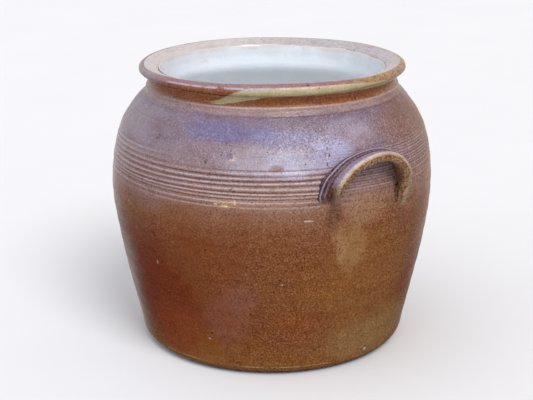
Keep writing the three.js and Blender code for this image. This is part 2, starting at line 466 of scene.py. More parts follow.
# Half of a strap from the root up to the top of the arch, as in the CAD but for the thumbed root:
# the angle from the handle's middle in degrees, the height, the radius, how far the broad face
# turns outwards in degrees, and half the width and thickness.
STRAP = np.array(
    [
        (14.6, 118, 124.8, 84, 8.0, 1.0),
        (14.9, 132, 125.6, 80, 8.6, 1.3),
        (15.3, 143, 127.0, 70, 9.2, 2.2),
        (15.2, 151.5, 130.0, 48, 8.9, 3.5),
        (13.6, 161.8, 134.6, 27, 8.6, 4.2),
        (8.0, 173, 135.7, 10, 8.5, 4.1),
        (0.0, 177.3, 136.0, 0, 8.5, 4.1),
    ]
)
ROOT_ARC = 33.2  # from the handle's middle to a root's middle, along the wall
LOW_LEG = 13.0  # how much lower the second leg is wiped on to the wall than the first
STATIONS = 240
VOXEL = 0.6
GRID_REACH = 15  # how far from the strap's centre line the voxels are worked out
SKIRT_REACH = 11  # how far from the strap the skirt goes
SKIRT_DEPTH = 2.4  # how far the skirt goes under the pot's surface


class Strap:
    """The strap's centre line with its own axes at each station, near +X."""

    def __init__(self, seed):
        other = STRAP[:-1][::-1] * np.array([-1, 1, 1, 1, 1, 1])
        other[:, 0] += 0.8 * smoothstep(140, 155, other[:, 1])
        other[:, 1] -= LOW_LEG * smoothstep(168, 146, other[:, 1])
        curve = catmull(np.vstack([STRAP, other]), 40)
        t = np.linspace(0, len(curve) - 1, STATIONS)
        curve = np.stack([np.interp(t, np.arange(len(curve)), c) for c in curve.T], axis=1)
        rng = np.random.default_rng(seed)
        s = np.linspace(0, 1, STATIONS)
        for column, size in ((1, 0.5), (2, 0.35), (4, 0.35), (5, 0.2)):
            curve[:, column] += size * np.sin(2 * math.pi * (s * rng.uniform(1, 3) + rng.uniform()))
        angle = -np.radians(curve[:, 0])
        radius = curve[:, 2]
        self.centre = np.stack([radius * np.cos(angle), radius * np.sin(angle), curve[:, 1]], axis=1)
        self.ahead = unit(np.gradient(self.centre, axis=0))
        radial = unit(self.centre * [1, 1, 0])
        out_of_arch = unit(np.cross(radial, self.ahead))
        middle = self.centre[STATIONS // 2] * [1, 1, 0] + [0, 0, curve[0, 1]]
        away = np.sum(out_of_arch * (self.centre - middle), axis=1)
        out_of_arch[away < 0] *= -1
        turn = np.radians(curve[:, 3])[:, None]
        face = out_of_arch * np.cos(turn) + radial * np.sin(turn)
        self.face = unit(face - self.ahead * np.sum(face * self.ahead, axis=1)[:, None])
        self.across = np.cross(self.ahead, self.face)
        self.half_width = curve[:, 4]
        self.half_thick = curve[:, 5]

    def local(self, points, station):
        """Where points lie in the strap's axes: across, out of the face, past the ends, and how far
        along from 0 to 1. station is the nearest station of each point."""
        step = np.linalg.norm(np.diff(self.centre, axis=0), axis=1).mean()
        ahead = np.sum((points - self.centre[station]) * self.ahead[station], axis=1) / step
        t = station + ahead
        inside = np.clip(t, 0, STATIONS - 1)
        low = np.minimum(inside.astype(int), STATIONS - 2)
        w = (inside - low)[:, None]

        def at(values):
            return values[low] * (1 - w) + values[low + 1] * w

        off = points - at(self.centre)
        across = np.sum(off * at(self.across), axis=1)
        out = np.sum(off * at(self.face), axis=1)
        past = (t - inside) * step
        sizes = at(np.stack([self.half_width, self.half_thick], axis=1))
        return across, out, past, inside / (STATIONS - 1), sizes[:, 0], sizes[:, 1]


def furrow_shift(along):
    """How far the furrows stray across the strap: a little along it, and more at its roots."""
    at_roots = 1.3 * smoothstep(0.35, 0.12, along) - 1.6 * smoothstep(0.7, 0.9, along)
    return 0.35 * np.sin(5.1 * along + 0.6) + at_roots


def strap_relief(across, along):
    """The lengthwise furrows that the potter's fingers pull in the broad face, and its edges."""
    shifted = across - furrow_shift(along)
    relief = 0.3 * hump(shifted, -4.6, 0.5)
    for place, width, depth in ((-6.2, 0.8, 0.5), (-3.3, 0.8, 0.85), (0.35, 0.6, 0.8)):
        relief -= depth * hump(shifted, place, width)
    return relief - 0.45 * hump(across, 3.6, 2.2) + 0.45 * hump(across, 7.0, 0.9)


def strap_distance(strap, points, station):
    """The signed distance from the strap's surface, in millimetres."""
    across, out, past, along, half_width, half_thick = strap.local(points, station)
    fade = smoothstep(0.02, 0.16, along) * smoothstep(0.02, 0.16, 1 - along)
    relief = strap_relief(across, along) * fade * smoothstep(-0.5, 1.5, out)
    corner = 0.78 * half_thick
    x = np.abs(across) - half_width + corner
    y = np.abs(out) - half_thick - relief + corner
    outside = np.sqrt(np.maximum(x, 0) ** 2 + np.maximum(y, 0) ** 2 + past**2)
    return outside + np.minimum(np.maximum(x, y), 0) - corner


def bump_at(s, z, s0, z0, wide, tall):
    return hump(s, s0, wide) * hump(z, z0, tall)


def smear_height(side, s, z, seed):
    """The clay wiped down the wall under a root, with a sharper edge towards the arch."""
    rng = np.random.default_rng(seed + side)
    middle = side * ROOT_ARC + rng.uniform(0, 0.06) * side * (z - 140)
    down = smoothstep(104, 134, z) * (1 - smoothstep(144, 158, z))
    width = 5.0 + 4.0 * smoothstep(108, 140, z)
    ridge = 2.0 * hump(s, middle, width)
    edge = 0.9 * hump(s, middle - 6.6 * side, 1.2) * smoothstep(110, 126, z)
    return down * (ridge + edge)


def thumb_press(s, z):
    """What the thumb pressed away at the first root, and the lump that it raised behind the dent."""
    dent = 2.8 * bump_at(s, z, -ROOT_ARC - 0.6, 151.5, 2.0, 8.5)
    lump = 2.3 * bump_at(s, z, -ROOT_ARC - 6.2, 150.0, 3.2, 3.8)
    curl = 0.7 * bump_at(s, z, -ROOT_ARC - 6.2, 144.6, 4.5, 1.0)
    return dent + curl - lump


def smooth_min(a, b, k):
    h = np.clip(0.5 + 0.5 * (b - a) / k, 0, 1)
    return b + (a - b) * h - k * h * (1 - h)


def surface_nets(field, origin, step):
    """The quads of a field's zero surface. The field is negative inside."""
    inside = field < 0
    cells = tuple(n - 1 for n in field.shape)
    count = np.zeros(cells, np.int8)
    for corner in np.ndindex(2, 2, 2):
        count += inside[tuple(slice(c, c + n) for c, n in zip(corner, cells))]
    active = (count > 0) & (count < 8)
    index = np.full(cells, -1)
    index[active] = np.arange(active.sum())
    at = np.argwhere(active)
    total, hits = np.zeros((len(at), 3)), np.zeros(len(at))
    faces = []
    for axis in range(3):
        others = [a for a in range(3) if a != axis]
        for side in np.ndindex(2, 2):
            start = at.copy()
            start[:, others] += side
            end = start.copy()
            end[:, axis] += 1
            f0, f1 = field[tuple(start.T)], field[tuple(end.T)]
            crossing = (f0 < 0) != (f1 < 0)
            t = np.where(crossing, f0 / np.where(crossing, f0 - f1, 1), 0)
            place = start.astype(float)
            place[:, axis] += t
            total[crossing] += place[crossing]
            hits[crossing] += 1
        edge = np.argwhere(np.diff(inside, axis=axis))
        beside = edge[:, others]
        edge = edge[(beside > 0).all(1) & (beside < np.array(cells)[others]).all(1)]
        a, b = np.eye(3, dtype=int)[others]
        corners = [index[tuple((edge - d).T)] for d in (0 * a, a, a + b, b)]
        quads = np.stack(corners, axis=1)
        flip = inside[tuple(edge.T)] != (axis == 1)
        quads[flip] = quads[flip][:, ::-1]
        faces.append(quads)
    return origin + step * total / hits[:, None], np.vstack(faces)


def relax(verts, quads, rounds, strength):
    """Smooths a mesh by moving each point towards the mean of its neighbours."""
    pairs = np.vstack([quads[:, [i, (i + 1) % 4]] for i in range(4)])
    for _ in range(rounds):
        total, count = np.zeros_like(verts), np.zeros(len(verts))
        np.add.at(total, pairs[:, 0], verts[pairs[:, 1]])
        np.add.at(count, pairs[:, 0], 1)
        verts = verts + strength * (total / count[:, None] - verts)
    return verts


def nearest_stations(strap, axes):
    """The nearest station of the strap to each point of a grid, and its distance."""
    shape = tuple(len(a) for a in axes)
    best, station = np.full(shape, 1e9), np.zeros(shape, int)
    reach = GRID_REACH + 1
    for i, c in enumerate(strap.centre):
        window = tuple(slice(*np.searchsorted(a, (x - reach, x + reach))) for a, x in zip(axes, c))
        parts = [(a[w] - x) ** 2 for a, w, x in zip(axes, window, c)]
        d = parts[0][:, None, None] + parts[1][:, None] + parts[2]
        closer = d < best[window]
        best[window] = np.where(closer, d, best[window])
        station[window] = np.where(closer, i, station[window])
    return station, np.sqrt(best)


def build_handle(name, material, seed, turned):
    """A strap handle blended into the wall: the strap, the wiped roots, and a skirt that stays
    under the pot's surface. It is made near +X and turned about Z."""
    strap = Strap(seed)
    low, high = strap.centre.min(0) - [12, 16, 14], strap.centre.max(0) + [12, 16, 9]
    axes = [np.arange(a, b, VOXEL) for a, b in zip(low, high)]
    station, reach = nearest_stations(strap, axes)
    near = reach < GRID_REACH
    points = np.stack(np.meshgrid(*axes, indexing="ij"), axis=-1)[near]
    from_strap = strap_distance(strap, points, station[near])
    r = np.hypot(points[:, 0], points[:, 1])
    z = points[:, 2]
    s = BELLY_RADIUS * np.arctan2(points[:, 1], points[:, 0])
    smear = smear_height(1, s, z, seed) + smear_height(-1, s, z, seed)
    proud = r - wall_radius(z)
    lowered = z + LOW_LEG * smoothstep(-10, 10, s)
    blend = 0.7 + 3.6 * (1 - smoothstep(139, 151, lowered))
    joined = smooth_min(from_strap, proud + 1.0 - smear, blend) + thumb_press(s, z)
    solid = np.maximum(np.maximum(joined, -proud - SKIRT_DEPTH), from_strap - SKIRT_REACH)
    field = np.full(near.shape, 5.0)  # outside, away from the strap
    field[near] = solid
    verts, quads = surface_nets(field, low, VOXEL)
    verts = relax(verts, quads, 3, 0.5)
    last = np.array(near.shape)[:, None] - 1
    spot = tuple(np.clip(np.round((verts - low) / VOXEL).astype(int).T, 0, last))
    across, out, _, along, half_width, half_thick = strap.local(verts, station[spot])
    x, y, z = verts.T
    s = BELLY_RADIUS * np.arctan2(y, x)
    right = smoothstep(-10, 10, s)
    uneven = 1.2 * np.sin(1.1 * y + seed) + 0.8 * np.sin(2.3 * y + 1.7 * seed)
    lowered = z + LOW_LEG * right
    broad = np.clip(0.5 + 0.5 * (across - furrow_shift(along)) / half_width, 0, 1)
    lifted = smoothstep(145, 151, lowered + uneven - 9 * (broad - 0.5) * (1 - right))
    furrow = np.clip(-strap_relief(across, along) / 0.9, 0, 1)
    furrow = furrow * smoothstep(-0.2, 0.7, out / half_thick)
    pool = smoothstep(163, 157, z + uneven - 3 * right) * smoothstep(0.6, 0.75, broad + 0.7 * right)
    # the mask for a painted shadow in the crevice where the strap stands off the wall
    crevice_shadow = hump(np.hypot(x, y), wall_radius(z), 1.2) * smoothstep(143, 150, lowered)
    cos, sin = math.cos(math.radians(turned)), math.sin(math.radians(turned))
    verts = verts @ np.array([[cos, sin, 0], [-sin, cos, 0], [0, 0, 1]])
    handle = new_mesh(name, verts, quads.tolist(), material)
    masks = {
        "strap": lifted,
        "strap_across": broad,
        "strap_out": np.clip(0.5 + 0.5 * out / half_thick, 0, 1),
        "groove": furrow * lifted,
        "pool": pool * lifted,
        "crevice_shadow": crevice_shadow,
        "thumb": bump_at(s, z, -ROOT_ARC - 0.4, 150, 2.0, 8.5),
    }
    for mask, values in masks.items():
        float_attribute(handle, mask, values)
    return handle


# ---- materials ----


def linear(colour):
    """The shader's colour for a screen colour in 0 to 255. A colour of four values is ready for use."""
    if len(colour) == 4:
        return colour
    c = np.array(colour) / 255
    values = np.where(c <= 0.04045, c / 12.92, ((c + 0.055) / 1.055) ** 2.4)
    return (*values.tolist(), 1.0)


class Nodes:
    """The nodes of a new material or world, with short calls for the kinds used here."""

    def __init__(self, owner, coordinates="Object"):
        self.owner = owner
        owner.use_nodes = True
        self.tree = owner.node_tree
        self.tree.nodes.clear()
        self.place = self.add("TexCoord").outputs[coordinates]

    def add(self, kind, settings=None, **inputs):
        node = self.tree.nodes.new("ShaderNode" + kind)
        for key, value in (settings or {}).items():
            setattr(node, key, value)
        for key, value in inputs.items():
            self.feed(node.inputs[key.replace("_", " ")], value)
        return node

    def feed(self, socket, value):
        if isinstance(value, bpy.types.NodeSocket):
            self.tree.links.new(value, socket)
        else:
            socket.default_value = value

    def math(self, operation, *values, clamp=False):
        node = self.add("Math", {"operation": operation, "use_clamp": clamp})
        for socket, value in zip(node.inputs, values):
            self.feed(socket, value)
        return node.outputs[0]

    def vector(self, operation, *values, out="Vector"):
        node = self.add("VectorMath", {"operation": operation})
        for socket, value in zip(node.inputs, values):
            self.feed(socket, value)
        return node.outputs[out]

    def noise(self, scale, detail=3.0, roughness=0.55, stretch=None):
        """Noise from 0 to 1. scale is per metre, and stretch squeezes it along each axis."""
        place = self.place if stretch is None else self.vector("MULTIPLY", self.place, stretch)
        node = self.add("TexNoise", Vector=place, Scale=scale, Detail=detail, Roughness=roughness)
        return node.outputs["Fac"]

    def jitter(self, size, scale, detail=3.0, roughness=0.55):
        """Noise from minus half the size to half of it."""
        return self.math("MULTIPLY_ADD", self.noise(scale, detail, roughness), size, -size / 2)

    def step(self, value, low, high, to_low=0.0, to_high=1.0):
        """A smooth change from to_low to to_high as the value goes from low to high."""
        ends = {"From_Min": low, "From_Max": high, "To_Min": to_low, "To_Max": to_high}
        node = self.add("MapRange", {"interpolation_type": "SMOOTHSTEP"}, Value=value, **ends)
        return node.outputs["Result"]

    def mix(self, mask, below, above, blend="MIX"):
        """above laid over below where the mask is 1. Either may be a node's output or a colour."""
        node = self.add("Mix", {"data_type": "RGBA", "blend_type": blend})
        for index, value in ((0, mask), (6, below), (7, above)):
            self.feed(node.inputs[index], linear(value) if isinstance(value, tuple) else value)
        return node.outputs[2]

    def lay(self, below, above, *masks):
        """above laid over below where all the masks are 1."""
        return self.mix(self.times(*masks), below, above)

    def tint(self, mask, below, tone):
        """The colour below multiplied by a tone where the mask is 1."""
        return self.mix(mask, below, tone, "MULTIPLY")

    def ramp(self, value, stops):
        """Colours at places from 0 to 1."""
        node = self.add("ValToRGB", Fac=value)
        elements = node.color_ramp.elements
        while len(elements) < len(stops):
            elements.new(0.5)
        for element, (place, colour) in zip(elements, stops):
            element.position = place
            element.color = linear(colour)
        return node.outputs["Color"]

    def mask(self, name):
        """A value that the mesh carries."""
        return self.add("Attribute", {"attribute_name": name}).outputs["Fac"]

    def patch(self, angle, height, wide, tall, ragged, scale, soft=0.5):
        """A ragged patch on the wall, in degrees and millimetres: 1 in its middle, and 0 from about
        wide to each side and tall up and down."""
        radius = float(wall_radius(min(height, 209))) * MM
        a = math.radians(angle)
        centre = (radius * math.cos(a), radius * math.sin(a), height * MM)
        off = self.vector("SUBTRACT", self.place, centre)
        off = self.vector("MULTIPLY", off, (1 / (wide * MM), 1 / (wide * MM), 1 / (tall * MM)))
        length = self.vector("LENGTH", off, out="Value")
        return self.step(self.plus(length, self.jitter(ragged, scale, 4, 0.6)), 1.0, 1.0 - soft)

    def times(self, *values):
        return functools.reduce(lambda a, b: self.math("MULTIPLY", a, b), values)

    def plus(self, *values):
        return functools.reduce(lambda a, b: self.math("ADD", a, b), values)

    def minus(self, a, b, clamp=False):
        return self.math("SUBTRACT", a, b, clamp=clamp)

    def between(self, value, low, high, soft):
        """1 while the value lies between low and high, with soft ends."""
        start = self.step(value, low - soft, low + soft)
        return self.times(start, self.step(value, high + soft, high - soft))

    def height(self):
        """The height in millimetres."""
        return self.math("MULTIPLY", self.add("SeparateXYZ", Vector=self.place).outputs["Z"], 1 / MM)

    def finish(self, colour, roughness, height, depth, **inputs):
        """The shader, its relief of a depth in metres, and the output."""
        bump = self.add("Bump", Height=height, Distance=depth, Strength=1.0)
        inputs |= {"Base_Color": colour, "Roughness": roughness, "Normal": bump.outputs["Normal"]}
        shader = self.add("BsdfPrincipled", **inputs)
        self.add("OutputMaterial", Surface=shader.outputs["BSDF"])
        return self.owner


def body_colour(n, height):
    """The fired clay from the foot to the shoulder: rust brown, then mauve and violet."""
    wandering = n.plus(height, n.jitter(34.0, 15), n.jitter(16.0, 70, 4, 0.6))
    share = n.math("DIVIDE", wandering, HEIGHT)
    stops = [
        (0.00, (132, 86, 40)),
        (0.09, (120, 70, 26)),
        (0.22, (110, 56, 22)),
        (0.48, (114, 60, 26)),
        (0.57, (122, 76, 48)),
        (0.65, (136, 102, 88)),
        (0.76, (130, 108, 114)),
        (0.88, (114, 96, 112)),
    ]
    return n.ramp(share, stops)


# The marks of flame and salt on the wall, and a lilac patch on the shoulder that is the glaze's haze
# with a painted highlight over it: the direction and height of each one's middle, how far it reaches
# sideways and upwards, how strong it is, and its colour
FLASHES_AND_HIGHLIGHT = (
    (-92, 66, 84, 72, 0.85, (102, 38, 14)),
    (-74, 30, 34, 36, 0.6, (122, 54, 20)),
    (-28, 84, 46, 60, 0.55, (118, 70, 28)),
    (4, 74, 72, 60, 0.75, (126, 80, 32)),
    (34, 62, 40, 60, 0.7, (112, 54, 20)),
    (-24, 46, 22, 14, 0.6, (122, 62, 18)),
    (14, 26, 74, 26, 0.75, (134, 102, 60)),
    (-50, 50, 24, 34, 0.35, (126, 80, 66)),
    (-44, 68, 17, 18, 0.35, (132, 86, 74)),
    (-80, 150, 50, 26, 0.6, (128, 98, 96)),
    (-104, 160, 30, 40, 0.5, (128, 108, 118)),
    (-6, 108, 17, 30, 0.5, (150, 114, 70)),
    (-12.4, 124, 6, 15, 0.4, (148, 116, 78)),
    (-10.4, 108, 5, 18, 0.4, (150, 120, 82)),
    (-2, 136, 22, 16, 0.6, (146, 110, 78)),
    (20, 146, 20, 22, 0.5, (122, 82, 56)),
    (34, 150, 20, 50, 0.6, (122, 84, 66)),
    (-38, 150, 46, 12, 0.5, (152, 120, 104)),
    (-13.4, 134, 9, 15, 0.8, (100, 60, 36)),
    (-84, 190, 50, 24, 0.6, (128, 116, 128)),
    (-76, 190, 26, 14, 0.45, (98, 78, 84)),
    # these two are the glaze's lilac haze with a painted highlight over it
    (-36, 175, 46, 14, 0.75, (158, 148, 160)),
    (-26, 173, 28, 12, 0.75, (172, 170, 190)),
    (-50, 193, 46, 9, 0.75, (98, 92, 134)),
    (-28, 190, 34, 8, 0.6, (122, 118, 156)),
    (18, 188, 26, 22, 0.7, (122, 88, 80)),
    # these two are the brightest part of the painted highlight, over the glaze's lilac haze
    (-13, 180, 23, 16, 0.8, (162, 160, 192)),
    (-4, 194, 24, 9, 0.4, (156, 146, 168)),
    (34, 188, 44, 46, 0.7, (114, 72, 46)),
    # more of the painted highlight over the glaze's lilac haze
    (0, 188, 17, 10, 0.5, (158, 142, 154)),
    (-32, 170.4, 6.5, 3.6, 0.8, (140, 106, 92)),
    (44, 182, 34, 34, 0.75, (112, 68, 42)),
    (135, 130, 90, 60, 0.6, (114, 68, 42)),
    (205, 90, 80, 70, 0.6, (102, 46, 22)),
    (165, 186, 70, 22, 0.5, (118, 104, 122)),
)


def flashes_and_highlight(n, colour):
    """The colour with the flashes and the painted highlight laid over it, with ragged edges."""
    for angle, height, wide, tall, weight, tone in FLASHES_AND_HIGHLIGHT:
        area = n.patch(angle, height, wide, tall, 0.8, 40, 0.6)
        colour = n.lay(colour, tone, area, weight)
    return colour


def direction(n):
    """The angle round the pot in degrees, from -180 to 180."""
    split = n.add("SeparateXYZ", Vector=n.place)
    angle = n.math("ARCTAN2", split.outputs["Y"], split.outputs["X"])
    return n.math("MULTIPLY", angle, 180 / math.pi)


def from_front_to_back(n, turn, low, high):
    """1 on the pot's right half: it starts in front between two angles and ends behind the pot."""
    return n.times(n.step(turn, low, high), n.step(turn, 176, 130))


def neck_colours(n, colour, height, turn):
    """The pink band at the neck, and the brown cove between it and the rim."""
    pink = n.times(n.step(height, 203.0, 205), n.step(height, 210.5, 208.5))
    rose = n.mix(n.noise(26), (138, 104, 98), (162, 138, 134))
    tan = from_front_to_back(n, turn, 2, 34)
    colour = n.lay(colour, rose, pink, n.step(tan, 0, 1, 0.8, 0.35))
    brown = n.mix(n.noise(70, 5, 0.65), (106, 44, 12), (152, 94, 42))
    brown = n.lay(brown, (142, 108, 74), tan, 0.6)
    # two thin scored lines under the rim's face
    scored = ((217.8, 0.35, 0.75, (60, 30, 16)), (216.9, 0.2, 0.5, (176, 128, 96)))
    for line, wide, weight, tone in scored:
        near = n.between(height, line - wide, line + wide, 0.25)
        brown = n.lay(brown, tone, near, n.step(turn, -30, -60), weight)
    return n.mix(n.step(height, 209.2, 210.4), colour, brown)


def rim_colours(n, colour, height, turn):
    """The rim: mauve on the left, brown in front and tan on the right, with the ash that ran along
    it. Its inner slope is pale, where the white glaze was wiped thin over the clay."""
    inwards = n.math("MULTIPLY_ADD", n.mask("rim"), RIM_SPAN, -RIM_SPAN / 2)
    ragged = n.jitter(3.0, 60, 4, 0.6)
    face = n.step(height, 218.6, 220.4)
    left = n.step(n.plus(turn, n.times(ragged, 4.0)), -76, -92)
    right = from_front_to_back(n, turn, -22, 10)
    mauve = n.mix(n.noise(40, 4), (118, 92, 94), (150, 128, 134))
    tan = n.mix(n.step(n.noise(300, 5, 0.7), 0.46, 0.66), (160, 128, 92), (116, 74, 44))
    colour = n.lay(colour, mauve, face, left, n.step(turn, -178, -160))
    colour = n.lay(colour, tan, face, right)
    # the ash starts as a point in the cove, climbs on to the face, and thins along its lower edge
    lower = n.plus(n.step(turn, -58, -30, 210.5, 217.8), ragged)
    climb = n.step(turn, -60, -40, 212.5, 225.4)
    thin = n.step(turn, -14, 28, 0.0, 3.4)
    upper = n.plus(n.minus(climb, thin), ragged)
    run = n.times(n.step(n.minus(height, lower), -0.4, 0.5), n.step(turn, -61, -56))
    run = n.times(run, n.step(n.minus(upper, height), -0.4, 0.5), n.step(turn, 70, 40))
    ash = n.mix(n.noise(240, 4, 0.6), (156, 144, 98), (196, 188, 152))
    colour = n.lay(colour, ash, run, 0.9)
    # the bevel outside the crest, and a painted highlight along its rounded outer edge
    bevel = n.between(inwards, -4.4, 0.3, 0.4)
    bevel = n.times(bevel, n.step(turn, -96, -80), n.step(turn, 16, -16))
    rose = n.mix(n.noise(90, 4), (120, 84, 90), (154, 118, 122))
    colour = n.lay(colour, rose, bevel, 0.85)
    line = n.between(inwards, -5.7, -4.4, 0.35)
    line = n.times(line, n.step(turn, -84, -78), n.step(turn, 14, -22))
    broken = n.step(n.noise(110, 4, 0.6), 0.34, 0.5)
    pale = n.mix(n.step(turn, -48, -18), (172, 164, 194), (192, 170, 156))
    colour = n.lay(colour, pale, line, broken, 0.8)
    # the wiped slope is flecked and duller on the right, and the crest is a dark line on the left
    wiped = n.mix(n.noise(60, 5, 0.6), (176, 168, 163), (208, 204, 204))
    flecks = n.step(n.noise(420, 3, 0.6), 0.56, 0.66)
    flecks = n.times(flecks, from_front_to_back(n, turn, 0, 40), 0.6)
    wiped = n.mix(flecks, wiped, (120, 104, 88))
    wiped = n.tint(n.times(from_front_to_back(n, turn, 20, 70), 0.8), wiped, (228, 226, 234))
    colour = n.mix(n.step(inwards, -0.2, 1.0), colour, wiped)
    crest = n.times(n.between(inwards, -0.9, 0.5, 0.35), n.step(turn, -60, -84), 0.75)
    return n.mix(crest, colour, (92, 70, 56))


def strap_colours(n, colour):
    """The handle: violet glaze along the broad face between its furrows, a painted highlight on the
    ridge by the back furrow, a cream crest, speckled brown on the side towards the arch, and pale
    ash glaze pooled at the roots."""
    across = n.plus(n.mask("strap_across"), n.jitter(0.05, 150))
    stops = [
        (0.00, (64, 36, 38)),
        (0.10, (92, 58, 60)),
        (0.18, (76, 48, 58)),
        # a painted highlight on the ridge beside the back furrow
        (0.235, (156, 150, 178)),
        (0.29, (70, 44, 56)),
        (0.36, (76, 48, 58)),
        (0.43, (116, 84, 92)),
        (0.50, (74, 42, 56)),
        (0.57, (134, 116, 140)),
        (0.74, (146, 136, 166)),
        (0.84, (160, 148, 160)),
        (0.92, (188, 172, 160)),
        (0.98, (172, 148, 122)),
    ]
    face = n.ramp(across, stops)
    speck = n.step(n.noise(620, 4, 0.65), 0.42, 0.56)
    side = n.mix(speck, (88, 50, 26), (150, 114, 78))
    side = n.mix(n.step(across, 0.4, 0.1), side, (84, 46, 40))
    out = n.plus(n.mask("strap_out"), n.jitter(0.2, 200))
    strap = n.mix(n.step(out, 0.66, 0.82), side, face)
    colour = n.mix(n.mask("strap"), colour, strap)
    ash = n.mix(n.noise(260, 4, 0.6), (140, 118, 84), (178, 166, 138))
    ash = n.mix(speck, n.mix(0.6, ash, (92, 54, 30)), ash)
    colour = n.lay(colour, ash, n.mask("pool"), n.step(out, 0.3, 0.7), 0.9)
    colour = n.lay(colour, (82, 46, 32), n.mask("thumb"), 0.75)
    # painted shadow in the crevice where the strap meets the wall
    return n.lay(colour, (48, 26, 26), n.mask("crevice_shadow"), 0.85)


def marks(n, colour):
    """Small marks: the glaze in the pit, a scratch, stuck crumbs of clay, and splashes of ash. Gives
    the colour and the marks' relief."""
    dent = n.patch(PIT_ANGLE, PIT_HEIGHT, 2.9, 2.9, 0.5, 300)
    around = n.patch(PIT_ANGLE + 0.9, PIT_HEIGHT - 1.3, 3.2, 3.2, 0.5, 300, 0.4)
    lip = n.minus(around, dent, clamp=True)
    colour = n.lay(colour, (98, 94, 116), dent, 0.7)
    colour = n.lay(colour, (192, 160, 148), lip, 0.7)
    relief = n.times(lip, 0.8)
    for angle, height, wide, tall, tone in (
        (-21.7, 132.2, 4.6, 0.9, (186, 166, 158)),
        (-14.6, 176.3, 1.1, 4.6, (196, 186, 200)),
        (-77.0, 87.6, 1.0, 2.2, (170, 142, 124)),
        (-58.0, 30.0, 1.4, 1.2, (160, 140, 116)),
        (8.0, 12.0, 1.8, 1.8, (178, 170, 150)),
        (-30.0, 82.0, 1.2, 1.2, (176, 156, 110)),
        (-50.6, 178.4, 0.9, 1.1, (70, 58, 84)),
        (-56.0, 172.9, 1.4, 1.2, (84, 62, 68)),
        (-78.4, 183.4, 3.2, 1.6, (84, 70, 88)),
    ):
        crumb = n.patch(angle, height, wide, tall, 0.5, 300)
        shade = n.patch(angle + 0.3, height + tall * 1.3, wide, tall * 0.7, 0.5, 300)
        colour = n.lay(colour, (86, 46, 36), shade, 0.6)
        colour = n.lay(colour, tone, crumb, 0.8)
        relief = n.plus(relief, crumb)
    for angle, height, tall in ((-15.3, 178.2, 3.6), (-13.8, 177.0, 4.4), (-14.9, 171.6, 2.4)):
        colour = n.mix(n.patch(angle, height, 0.9, tall, 0.4, 300), colour, (104, 72, 78))
    splash = n.patch(-48.3, 144.8, 12, 3.0, 1.4, 200)
    colour = n.lay(colour, (172, 134, 72), splash, 0.65)
    ticks = ((-45.2, 145.6, 1.2, 2.6), (-48.3, 143.2, 3.0, 0.8), (-51.6, 144.2, 1.8, 1.0))
    for angle, height, wide, tall in ticks:
        colour = n.mix(n.patch(angle, height, wide, tall, 0.6, 300, 0.4), colour, (196, 184, 112))
    return colour, relief


